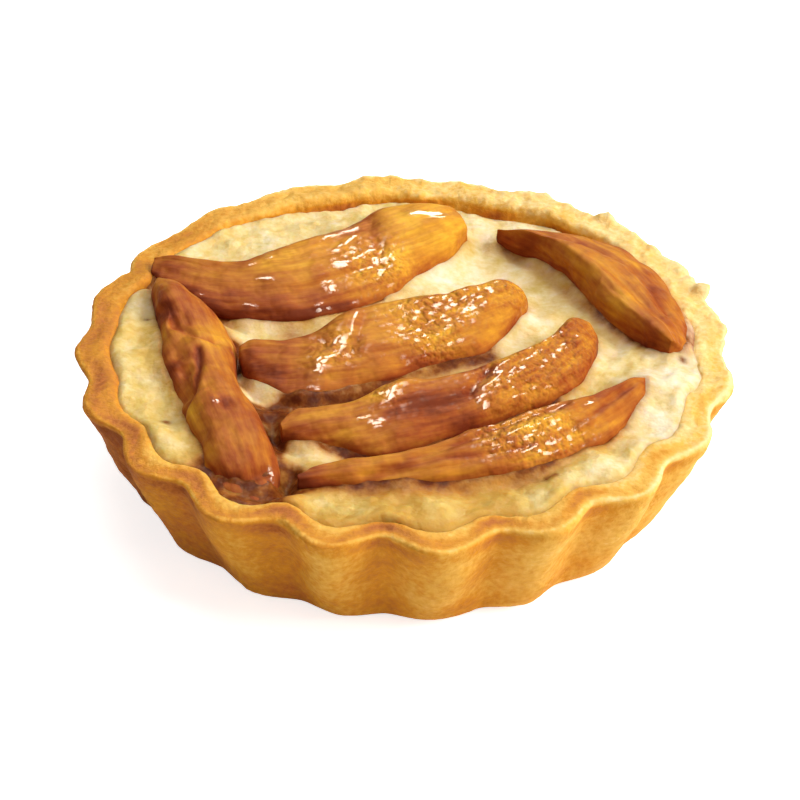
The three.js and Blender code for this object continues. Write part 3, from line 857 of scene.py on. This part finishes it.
def make_slice(node, shape):
    """A wedge of apple: a ball drawn into a wedge section, tapered, pressed to its own lumps and hollows,
    leant over and laid along its path."""
    bpy.ops.mesh.primitive_uv_sphere_add(segments=SLICE_SIDES, ring_count=SLICE_RINGS, radius=1)
    wedge = bpy.context.object
    wedge.name = node.replace("apple_slice", "glazed_slice")
    edit(wedge)
    bpy.ops.mesh.select_all(action="SELECT")
    bpy.ops.transform.rotate(value=math.pi / 2, orient_axis="Y", center_override=(0, 0, 0))
    shape_section(wedge, shape["section"])
    curve = path_curve(shape["path"])
    length = curve.data.splines[0].calc_length()
    shape_rings(wedge, length, shape)
    for along, across, rise, reach in shape["forms"]:
        sideways = across * shape["width"] / 2 * MM
        pick_nearest(wedge, Vector((along * length, sideways, shape["thickness"] / 2 * MM)))
        press((0, 0, rise * MM), reach * MM)
    bpy.ops.mesh.select_all(action="SELECT")
    bpy.ops.transform.rotate(value=-math.radians(shape["lean"]), orient_axis="X", center_override=(0, 0, 0))
    finish_with(wedge, "SUBSURF", levels=2, render_levels=2)
    straight = corners(wedge)
    finish_with(wedge, "CURVE", object=curve, deform_axis="POS_X")
    bpy.data.objects.remove(curve)
    dress_slice(wedge, straight, length, shape)
    return wedge


def shape_section(wedge, section):
    """Presses the ball's round section into a wedge's, one lengthwise row of corners after another."""
    turns = [math.atan2(up, across) for across, up in section]
    reaches = [math.hypot(across, up) for across, up in section]
    for side in range(SLICE_SIDES):
        angle = 2 * math.pi * side / SLICE_SIDES
        ray = Vector((math.cos(angle), math.sin(angle)))
        pick(wedge, lambda corner: lies_on(corner.co.yz, ray))
        reach = np.interp(angle, turns, reaches, period=2 * math.pi)
        bpy.ops.transform.resize(value=(1, reach, reach), center_override=(0, 0, 0))


def lies_on(place, ray):
    """Whether a place in a section is on a ray from its middle."""
    return place.length > SAME_PLACE and place.normalized().dot(ray) > SAME_BEARING


def shape_rings(wedge, length, shape):
    """Draws the wedge to its length, outline and thickness, ring by ring."""
    for ring in range(1, SLICE_RINGS):
        axial = -math.cos(math.pi * ring / SLICE_RINGS)
        along = (1 + axial) / 2
        grow = MM / math.sqrt(1 - axial * axial)
        for edge, side in (("front", -1), ("back", 1)):
            pick(wedge, lambda corner: in_ring(corner.co, axial) and corner.co.y * side > OFF_MIDDLE)
            reach = np.interp(along, *zip(*shape[edge]))
            bpy.ops.transform.resize(value=(1, reach * grow, 1), center_override=(0, 0, 0))
        pick(wedge, lambda corner: in_ring(corner.co, axial))
        rise = shape["thickness"] / 2 * np.interp(along, *zip(*shape["crown"]))
        bpy.ops.transform.resize(value=(1, 1, rise * grow), center_override=(0, 0, 0))
    bpy.ops.mesh.select_all(action="SELECT")
    bpy.ops.transform.resize(value=(length / 2, 1, 1), center_override=(0, 0, 0))
    bpy.ops.transform.translate(value=(length / 2, 0, 0))


def in_ring(place, axial):
    """Whether a place is in the ball's ring at a distance along its axis."""
    return abs(place.x - axial) < SAME_PLACE


def path_curve(path):
    """The line that a slice lies along."""
    data = bpy.data.curves.new("slice_path", "CURVE")
    data.dimensions = "3D"
    data.twist_mode = "Z_UP"
    data.resolution_u = 24
    spline = data.splines.new("BEZIER")
    spline.bezier_points.add(len(path) - 1)
    for point, place in zip(spline.bezier_points, path):
        point.co = Vector(place) * MM - Vector((0, 0, SLICE_SINK))
        point.handle_left_type = "AUTO"
        point.handle_right_type = "AUTO"
    curve = bpy.data.objects.new("slice_path", data)
    bpy.context.scene.collection.objects.link(curve)
    bpy.context.view_layer.update()
    return curve


def dress_slice(wedge, straight, length, shape):
    """Gives a slice its soft dents, flesh lines and sugar grains, and stores how it has browned, with painted
    shade added low on its sides.
    """
    places = corners(wedge)
    along = straight[:, 0] / length
    across = straight[:, 1] / (shape["width"] / 2 * MM)
    upper = smooth(-1.5 * MM, 1.5 * MM, straight[:, 2])
    seed = int(shape["width"] * 10)
    flesh = straight * np.array([FLESH_STRETCH, 1, 1])
    sugar = patches(along, across, length, shape, [(*patch, 1.0) for patch in shape["sugared"]])
    sugar = np.clip(sugar, 0, 1) * upper
    dents = waves(places, 4.5 * MM, seed) * 0.2 * MM + waves(places, 2.2 * MM, seed + 1) * 0.08 * MM
    darker = np.zeros(len(places))
    for line, reach, amount, depth in shape["streaks"]:
        streak = near(line_distance(places, line), 0, reach) * upper
        darker += amount * streak
        dents -= depth * MM * streak
    wet = np.zeros(len(places))
    for line, reach in shape["wet"]:
        pool = 1 - smooth(reach / 2, reach, line_distance(places, line))
        wet = np.maximum(wet, pool * upper)
    lines = waves(flesh, 1.1 * MM, seed + 2) * 0.06 * MM * shape["ridges"]
    grains = waves(places, 1.5 * MM, seed + 3) * 0.07 * MM * sugar
    lift(wedge, (dents + POOLED_GLAZE * wet + lines + grains) * between(0.3, 1, upper))
    toast = shape["toast"] + patches(along, across, length, shape, shape["browned"]) + add_up([
        # Darker low down, where the slice rolls under into the cream: a browned edge with painted shade
        (0.32, 1 - smooth(-0.6 * MM, 2 * MM, straight[:, 2])),
        (0.1, waves(places, 6 * MM, seed + 4)),
        (0.08, waves(flesh, 1.3 * MM, seed + 5)),
        (darker, 0.7 + 0.3 * waves(places, 2.4 * MM, seed + 6)),
    ])
    paint(wedge, "toast", np.clip(toast, 0, 1))
    paint(wedge, "sugar", sugar)
    sparkle = smooth(0.25, 0.6, waves(places, 0.65 * MM, seed + 7))
    paint(wedge, "glaze", np.maximum(wet, SUGAR_GLAZE * sugar * sparkle))
    paint(wedge, "flesh", straight + np.array([seed * MM, 0, 0]))


def patches(along, across, length, shape, spots):
    """Adds up round patches on a slice, each at its place along and across with its reach and amount."""
    total = np.zeros(len(along))
    for spot_along, spot_across, reach, amount in spots:
        lengthwise = (along - spot_along) * length / MM
        sideways = (across - spot_across) * shape["width"] / 2
        total += amount * np.exp(-(lengthwise ** 2 + sideways ** 2) / reach ** 2)
    return total


# Cream filling

def make_cream(shell, slices):
    """A pool of baked cream: a ring laid against the crust, drawn in over the top and down to the floor,
    swelled into banks, and let down round the slices that sink into it."""
    bpy.ops.mesh.primitive_circle_add(vertices=CREAM_COLUMNS, radius=RIM_RADIUS, location=(0, 0, 0))
    cream = bpy.context.object
    cream.name = "baked_cream"
    lay_against_crust(cream, shell)
    edit(cream)
    edge = {corner.index for corner in bmesh.from_edit_mesh(cream.data).verts}
    bpy.ops.mesh.select_all(action="SELECT")
    widest = max(place.xy.length for place in picked(cream))
    for ring in range(1, CREAM_RINGS):
        share = 1 - ring / CREAM_RINGS
        height = between(CREAM_LEVEL, CREAM_EDGE_HEIGHT, share ** CREAM_EDGE_STEEPNESS)
        lay_ring(cream, widest * share, height, CREAM_FLUTE_FADE, RING_LEVEL)
    pick(cream, lambda corner: corner.index in edge)
    lay_ring(cream, widest + CREAM_TUCK, RIM_HEIGHT - CREAM_TUCK, level=0.5)
    lay_ring(cream, widest - 3 * MM, RIM_HEIGHT * 0.6, fade=0.2)
    for radius in (wall_radius(0.2) - 5.4 * MM, 6 * MM):
        lay_ring(cream, radius, CREAM_FLOOR, fade=0.3)
    finish_with(cream, "SUBSURF", levels=1, render_levels=1)
    close_holes(cream)
    edit(cream)
    for (x, y), rise, reach in CREAM_SWELLS:
        pick_nearest(cream, Vector((x * MM, y * MM, CREAM_LEVEL)))
        press((0, 0, rise * MM), reach * MM)
    bpy.ops.object.mode_set(mode="OBJECT")
    let_down_round_slices(cream, shell, slices)
    return cream


def lay_against_crust(ring, shell):
    """Moves each corner of a ring out onto the inner edge of the rim, and lower down its side at the back."""
    crust = surface_of(shell)
    for corner in ring.data.vertices:
        outward = Vector((corner.co.x, corner.co.y, 0)).normalized()
        back = float(smooth(0.45, 0.95, outward.dot(BACK_RIGHT)))
        level = RIM_HEIGHT - 1 * MM - BACK_CREAM_DROP * back
        inner = crust.ray_cast(Vector((0, 0, level)), outward)[0]
        above = inner + outward * CREAM_LAP + Vector((0, 0, 10 * MM))
        rim = crust.ray_cast(above, Vector((0, 0, -1)))[0]
        corner.co = rim.lerp(inner + outward * CREAM_LAP, back)


def let_down_round_slices(cream, shell, slices):
    """Puffs the cream near the crust, lowers it between slices and under each one, and stores where it is pale,
    where it is stained with juice and darkened by painted shade next to and between the slices, and where it
    is flecked."""
    places = corners(cream)
    radius = from_axis(places)
    top = smooth(16 * MM, 18.5 * MM, places[:, 2])
    bank = smooth(30 * MM, 39 * MM, radius)
    inside = smooth(0.2 * MM, 2 * MM, 44 * MM - radius)
    puffs = waves(places, 4.4 * MM, 21) * 0.38 + waves(places, 1.9 * MM, 22) * 0.09
    foam = blisters(places, 0.02 + bank * top, 0.5 * MM, 1.3 * MM, CREAM_BLISTERS, 23) * 0.3 * bank
    places[:, 2] += (puffs * between(0.75, 1, bank) + foam) * MM * top * between(0.4, 1, inside)
    crust_gap = np.abs(gap_to(shell, places, top > 0))
    gaps = [gap_to(piece, places, top > 0) for piece in slices]
    sunk = -np.min(gaps, axis=0)
    nearest, next_nearest = np.sort(np.maximum(gaps, 0), axis=0)[:2]
    creases = add_up([
        (strength, near(line_distance(places, line), 0, reach)) for line, reach, strength in CREAM_CREASES
    ])
    foamy = np.clip(spots_in_plan(places, CREAM_FOAM), 0, 1)
    places[:, 2] += top * MM * add_up([
        (-1.6, near(next_nearest, 0, 2.6 * MM)),
        (0.5, near(nearest, 0, 1.2 * MM)),
        (-4.6, smooth(1.0 * MM, 2.4 * MM, sunk)),
        (-0.8, creases),
        (0.3, foamy * bank),
    ])
    set_corners(cream, places)
    # Juice stains, with painted shade added next to each slice and most in the narrow gaps between slices
    juice = creases + spots_in_plan(places, CREAM_STAINS) + add_up([
        (0.5, np.exp(-nearest / (0.9 * MM))),
        (0.16, np.exp(-nearest / (2.6 * MM))),
        (0.75, near(next_nearest, 0, 1.9 * MM)),
    ])
    # Foam covers the juice and the painted shade alike; the cream is also darker in a thin line along the crust
    stain = juice * (1 - 0.8 * foamy) + 0.45 * np.exp(-crust_gap / (0.7 * MM))
    pale = CREAM_TONE - 0.1 * bank
    for degrees, low, amount in CREAM_SIDES:
        pale += amount * towards_side(bearings(places), degrees, low, 1) * bank
    pale = between(pale, FOAM_TONE, foamy)
    pale += 0.1 * waves(places, 6 * MM, 24) + 0.1 * waves(places, 2 * MM, 25)
    fleck = spots_in_plan(places, [(*spot, FLECK_STRENGTH) for spot in CREAM_FLECKS])
    for name, values in (("stain", stain), ("pale", pale), ("fleck", fleck)):
        paint(cream, name, np.clip(values, 0, 1))


def gap_to(piece, places, wanted):
    """How far each wanted place lies from a piece, less than 0 inside it and at most a few millimetres."""
    surface = surface_of(piece)
    reach = 6 * MM
    found = corners(piece)
    low, high = found.min(axis=0)[:2] - reach, found.max(axis=0)[:2] + reach
    close = wanted & (places[:, :2] > low).all(axis=1) & (places[:, :2] < high).all(axis=1)
    gaps = np.full(len(places), reach)
    for index in np.flatnonzero(close):
        place = Vector(places[index])
        touch, normal, _, distance = surface.find_nearest(place, reach)
        if touch is not None:
            gaps[index] = math.copysign(distance, (place - touch).dot(normal))
    return gaps


def line_distance(places, line):
    """How far each place lies from a line of points, seen from above, in millimetres."""
    spots = places[:, :2] / MM
    nearest = np.full(len(places), np.inf)
    for start, end in zip(line, line[1:]):
        run = np.subtract(end, start)
        share = np.clip((spots - start) @ run / (run @ run), 0, 1)
        nearest = np.minimum(nearest, np.hypot(*(spots - start - share[:, None] * run).T))
    return nearest


def spots_in_plan(places, spots):
    """Adds up round spots seen from above, each with its place, reach and strength."""
    total = np.zeros(len(places))
    for (x, y), reach, strength in spots:
        away = (places[:, 0] / MM - x) ** 2 + (places[:, 1] / MM - y) ** 2
        total += strength * np.exp(-away / reach ** 2)
    return total


# Materials

def srgb(red, green, blue):
    """A colour as the eye reads it, 0 to 255, turned into the light that a material reflects."""
    def linear(value):
        value /= 255
        return value / 12.92 if value <= 0.04045 else ((value + 0.055) / 1.055) ** 2.4
    return (linear(red), linear(green), linear(blue), 1)


class Recipe:
    """One material's nodes, joined as they are added."""

    def __init__(self, name):
        self.material = bpy.data.materials.new(name)
        self.material.use_nodes = True
        self.nodes = self.material.node_tree.nodes
        self.links = self.material.node_tree.links
        self.surface = self.nodes["Principled BSDF"]

    def add(self, kind, **values):
        node = self.nodes.new(kind)
        for name, value in values.items():
            setattr(node, name, value)
        return node

    def join(self, source, target):
        if isinstance(source, (int, float)):
            target.default_value = source
        else:
            self.links.new(source, target)

    def attribute(self, name, output="Fac"):
        return self.add("ShaderNodeAttribute", attribute_name=name).outputs[output]

    def place(self):
        return self.add("ShaderNodeTexCoord").outputs["Object"]

    def uneven(self, place, size, low, high, detail=3.0, roughness=0.55):
        """A value that wanders over the surface between low and high, in patches of about a size."""
        node = self.add("ShaderNodeGroup", node_tree=uneven_group())
        self.join(place, node.inputs["Place"])
        settings = {"Scale": 1 / size, "Detail": detail, "Roughness": roughness, "Low": low, "High": high}
        for name, value in settings.items():
            node.inputs[name].default_value = value
        return node.outputs["Value"]

    def stretched(self, place, scale):
        node = self.add("ShaderNodeMapping")
        self.join(place, node.inputs["Vector"])
        node.inputs["Scale"].default_value = scale
        return node.outputs["Vector"]

    def math(self, operation, first, second, clamp=False):
        node = self.add("ShaderNodeMath", operation=operation, use_clamp=clamp)
        self.join(first, node.inputs[0])
        self.join(second, node.inputs[1])
        return node.outputs[0]

    def total(self, *values):
        """Adds values up, and keeps the sum between 0 and 1."""
        *first, last = values
        so_far = first[0]
        for value in first[1:]:
            so_far = self.math("ADD", so_far, value)
        return self.math("ADD", so_far, last, clamp=True)

    def ramp(self, value, stops):
        node = self.add("ShaderNodeValToRGB")
        self.join(value, node.inputs["Fac"])
        elements = node.color_ramp.elements
        while len(elements) < len(stops):
            elements.new(0.5)
        for element, (position, colour) in zip(elements, stops):
            element.position = position
            element.color = srgb(*colour)
        return node.outputs["Color"]

    def mix(self, share, first, second):
        node = self.add("ShaderNodeMix", data_type="RGBA")
        self.join(share, node.inputs["Factor"])
        for source, socket in ((first, node.inputs["A"]), (second, node.inputs["B"])):
            if isinstance(source, tuple):
                socket.default_value = srgb(*source)
            else:
                self.links.new(source, socket)
        return node.outputs["Result"]

    def bump(self, height, depth, under=None):
        node = self.add("ShaderNodeBump")
        self.join(height, node.inputs["Height"])
        node.inputs["Distance"].default_value = depth
        if under is not None:
            self.links.new(under, node.inputs["Normal"])
        return node.outputs["Normal"]

    def set(self, **values):
        """Sets the surface's own sockets, by plain names such as coat_weight."""
        for name, value in values.items():
            socket = self.surface.inputs[name.replace("_", " ").title().replace("Ior", "IOR")]
            if isinstance(value, bpy.types.NodeSocket):
                self.links.new(value, socket)
            else:
                socket.default_value = value


NOISE_SPAN = (0.25, 0.75)     # nearly all of the noise lies between these


def uneven_group():
    """The node group for uneven tones and relief, built once and used by every finish."""
    name = "uneven_surface"
    if name in bpy.data.node_groups:
        return bpy.data.node_groups[name]
    group = bpy.data.node_groups.new(name, "ShaderNodeTree")
    group.interface.new_socket("Place", in_out="INPUT", socket_type="NodeSocketVector")
    for socket in ("Scale", "Detail", "Roughness", "Low", "High"):
        group.interface.new_socket(socket, in_out="INPUT", socket_type="NodeSocketFloat")
    group.interface.new_socket("Value", in_out="OUTPUT", socket_type="NodeSocketFloat")
    inputs = group.nodes.new("NodeGroupInput").outputs
    outputs = group.nodes.new("NodeGroupOutput").inputs
    noise = group.nodes.new("ShaderNodeTexNoise")
    spread = group.nodes.new("ShaderNodeMapRange")
    spread.inputs["From Min"].default_value, spread.inputs["From Max"].default_value = NOISE_SPAN
    group.links.new(inputs["Place"], noise.inputs["Vector"])
    for socket in ("Scale", "Detail", "Roughness"):
        group.links.new(inputs[socket], noise.inputs[socket])
    group.links.new(noise.outputs["Fac"], spread.inputs["Value"])
    group.links.new(inputs["Low"], spread.inputs["To Min"])
    group.links.new(inputs["High"], spread.inputs["To Max"])
    group.links.new(spread.outputs["Result"], outputs["Value"])
    return group


def shortcrust_material():
    """Matte baked dough, its colour set by how far it has baked and by painted light and shade."""
    recipe = Recipe("baked_shortcrust")
    place = recipe.place()
    mottle = recipe.uneven(place, 5 * MM, -0.05, 0.05)
    crumb = recipe.uneven(place, 0.9 * MM, -0.12, 0.12)
    tone = recipe.total(recipe.attribute("bake"), mottle, crumb)
    colour = recipe.ramp(tone, [
        (0.05, (250, 222, 156)),
        (0.3, (242, 188, 86)),
        (0.55, (219, 146, 42)),
        (0.8, (192, 112, 46)),
        (1.0, (152, 78, 28)),
    ])
    pores = recipe.bump(recipe.uneven(place, 1.6 * MM, 0, 1), 0.14 * MM)
    relief = recipe.bump(recipe.uneven(place, 0.45 * MM, 0, 1, 4), 0.08 * MM, pores)
    recipe.set(
        base_color=colour, roughness=0.6, normal=relief, specular_ior_level=0.06,
        subsurface_weight=0.2, subsurface_radius=(1, 0.5, 0.2), subsurface_scale=1.2 * MM,
    )
    return recipe.material


def cream_material():
    """Soft baked cream, with syrup where juice has run into it, and the syrup's dark tones also used as
    painted shade next to and between the slices.
    """
    recipe = Recipe("baked_cream")
    place = recipe.place()
    patchy = recipe.uneven(place, 5 * MM, -0.1, 0.1, 2)
    froth = recipe.uneven(place, 1.1 * MM, -0.16, 0.16)
    tone = recipe.total(recipe.attribute("pale"), patchy, froth)
    colour = recipe.ramp(tone, [
        (0.0, (206, 158, 70)),
        (0.35, (221, 187, 104)),
        (0.65, (236, 213, 154)),
        (1.0, (249, 236, 208)),
    ])
    juice = recipe.math("MULTIPLY", recipe.attribute("stain"), recipe.uneven(place, 2.5 * MM, 0.6, 1.15))
    syrup = recipe.ramp(juice, [(0.0, (222, 172, 86)), (0.5, (180, 106, 40)), (1.0, (92, 36, 10))])
    colour = recipe.mix(recipe.math("MULTIPLY", juice, 1.25, clamp=True), colour, syrup)
    colour = recipe.mix(recipe.attribute("fleck"), colour, (132, 72, 32))
    bubbles = recipe.bump(recipe.uneven(place, 1.3 * MM, 0, 1, 2), 0.16 * MM)
    recipe.set(
        base_color=colour, roughness=0.4, normal=bubbles, specular_ior_level=0.02,
        coat_weight=0.02, coat_roughness=0.15,
        subsurface_weight=0.6, subsurface_radius=(1, 0.6, 0.3), subsurface_scale=2.4 * MM,
    )
    return recipe.material


def apple_material():
    """Browned flesh with fibres along it and sugar crystals, darker low down with painted shade, under a clear
    glaze where that has pooled.
    """
    recipe = Recipe("caramelised_apple")
    place = recipe.place()
    flesh = recipe.stretched(recipe.attribute("flesh", "Vector"), (0.15, 1, 1))
    sugar = recipe.attribute("sugar")
    mottle = recipe.uneven(place, 3.2 * MM, -0.16, 0.16, 4)
    fibres = recipe.uneven(flesh, 0.8 * MM, -0.16, 0.16)
    speckle = recipe.math("MULTIPLY", recipe.uneven(place, 0.8 * MM, -0.2, 0.06, 1), sugar)
    tone = recipe.total(recipe.attribute("toast"), mottle, fibres, speckle)
    colour = recipe.ramp(tone, [
        (0.0, (236, 176, 54)),
        (0.25, (210, 141, 44)),
        (0.5, (186, 110, 40)),
        (0.75, (158, 76, 32)),
        (1.0, (118, 48, 24)),
    ])
    crystals = recipe.math("MULTIPLY", recipe.uneven(place, 0.8 * MM, 0, 1, 1), sugar)
    relief = recipe.bump(recipe.uneven(place, 3.2 * MM, 0, 1, 2), 0.3 * MM)
    relief = recipe.bump(recipe.uneven(flesh, 0.7 * MM, 0, 1), 0.03 * MM, relief)
    relief = recipe.bump(crystals, 0.28 * MM, relief)
    recipe.set(
        base_color=colour, roughness=0.5, normal=relief,
        specular_ior_level=0.04, specular_tint=(1, 0.8, 0.6, 1),
        coat_weight=recipe.attribute("glaze"), coat_roughness=0.07, coat_ior=1.45,
        subsurface_weight=0.08, subsurface_radius=(1, 0.4, 0.1), subsurface_scale=1.2 * MM,
    )
    return recipe.material


def table_material():
    """White where the camera sees it, and dimmer where it lights the tart from below."""
    recipe = Recipe("white_table")
    seen = recipe.add("ShaderNodeLightPath").outputs["Is Camera Ray"]
    glow = recipe.mix(seen, (74, 74, 74), (255, 255, 255))
    recipe.set(base_color=(0.94, 0.94, 0.94, 1), roughness=0.7, emission_color=glow, emission_strength=0.75)
    return recipe.material


# The setting

CAMERA_DISTANCE = 340 * MM
CAMERA_ELEVATION = math.radians(35.85)
CAMERA_ROLL = math.radians(0.43)
CAMERA_LENS = 101
CAMERA_TARGET = Vector((0, 0, 10.3 * MM))
CAMERA_AIM = (-0.7 * MM, -0.36 * MM)
FLOOR_SIZE = 6

# The key and the sky light the matte surfaces, and the windows show in the glaze alone
KEY = dict(direction=(0.84, -0.12, 0.66), distance=1.2, size=0.9, power=17)
SKY = dict(direction=(0, 0.25, 0.95), distance=0.9, size=0.6, power=2.4)
WINDOW = dict(distance=0.8, size=0.26, power=4.5, colour=(1, 0.9, 0.76))
WINDOW_DIRECTIONS = [
    (-0.05, 0.12, 1),
    (0.1, 0.45, 0.9),
    (-0.3, 0.4, 0.85),
    (0.15, 0.75, 0.65),
    (0.1, -0.45, 0.85),
    (0.6, -0.1, 0.8),
]
ROOM_LIGHT = {"Color": (1, 0.97, 0.92, 1), "Strength": 0.24}


def make_camera():
    back = Vector((0, -math.cos(CAMERA_ELEVATION), math.sin(CAMERA_ELEVATION)))
    right = Vector((1, 0, 0))
    up = back.cross(right)
    place = CAMERA_TARGET + back * CAMERA_DISTANCE
    aim = CAMERA_TARGET + right * CAMERA_AIM[0] + up * CAMERA_AIM[1]
    facing = (aim - place).to_track_quat("-Z", "Y").to_matrix().to_4x4()
    camera = bpy.data.objects.new("camera", bpy.data.cameras.new("camera"))
    camera.data.sensor_width = 36
    camera.data.lens = CAMERA_LENS
    camera.data.clip_start = 0.01
    camera.matrix_world = Matrix.Translation(place) @ facing @ Matrix.Rotation(CAMERA_ROLL, 4, "Z")
    bpy.context.scene.collection.objects.link(camera)
    bpy.context.scene.camera = camera


def make_light(name, direction, distance, size, power, colour=(1, 1, 1), in_gloss=True, in_matte=True):
    """A round soft light. It may light the matte surfaces, show in the glossy ones, or both."""
    lamp = bpy.data.lights.new(name, "AREA")
    lamp.shape = "DISK"
    lamp.size = size
    lamp.energy = power
    lamp.color = colour
    place = Vector(direction).normalized() * distance
    light = bpy.data.objects.new(name, lamp)
    light.visible_glossy = in_gloss
    light.visible_diffuse = in_matte
    light.matrix_world = Matrix.Translation(place) @ (-place).to_track_quat("-Z", "Y").to_matrix().to_4x4()
    bpy.context.scene.collection.objects.link(light)


def make_setting():
    make_camera()
    make_light("key", **KEY, in_gloss=False)
    make_light("sky", **SKY, in_gloss=False)
    for number, direction in enumerate(WINDOW_DIRECTIONS):
        make_light(f"window_{number}", direction, **WINDOW, in_matte=False)
    world = bpy.data.worlds.new("studio")
    world.use_nodes = True
    for name, value in ROOM_LIGHT.items():
        world.node_tree.nodes["Background"].inputs[name].default_value = value
    bpy.context.scene.world = world
    bpy.context.scene.view_settings.view_transform = "Standard"
    object_mode()
    bpy.ops.mesh.primitive_plane_add(size=FLOOR_SIZE, location=(0, 0, 0))
    floor = bpy.context.object
    floor.name = "table"
    floor.data.materials.append(table_material())


def settle(piece, node, material):
    """Gives a finished piece its material, smooth faces and place on the tart."""
    alone(piece)
    bpy.ops.object.shade_smooth()
    piece.data.name = piece.name
    piece.data.materials.clear()
    piece.data.materials.append(material)
    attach(piece, "root")
    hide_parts(node)


object_mode()
make_setting()
shell = make_pastry_shell()
settle(shell, "pastry_shell", shortcrust_material())
apple = apple_material()
slices = []
for node, shape in SLICES.items():
    slices.append(make_slice(node, shape))
    settle(slices[-1], node, apple)
cream = make_cream(shell, slices)
settle(cream, "cream_filling", cream_material())
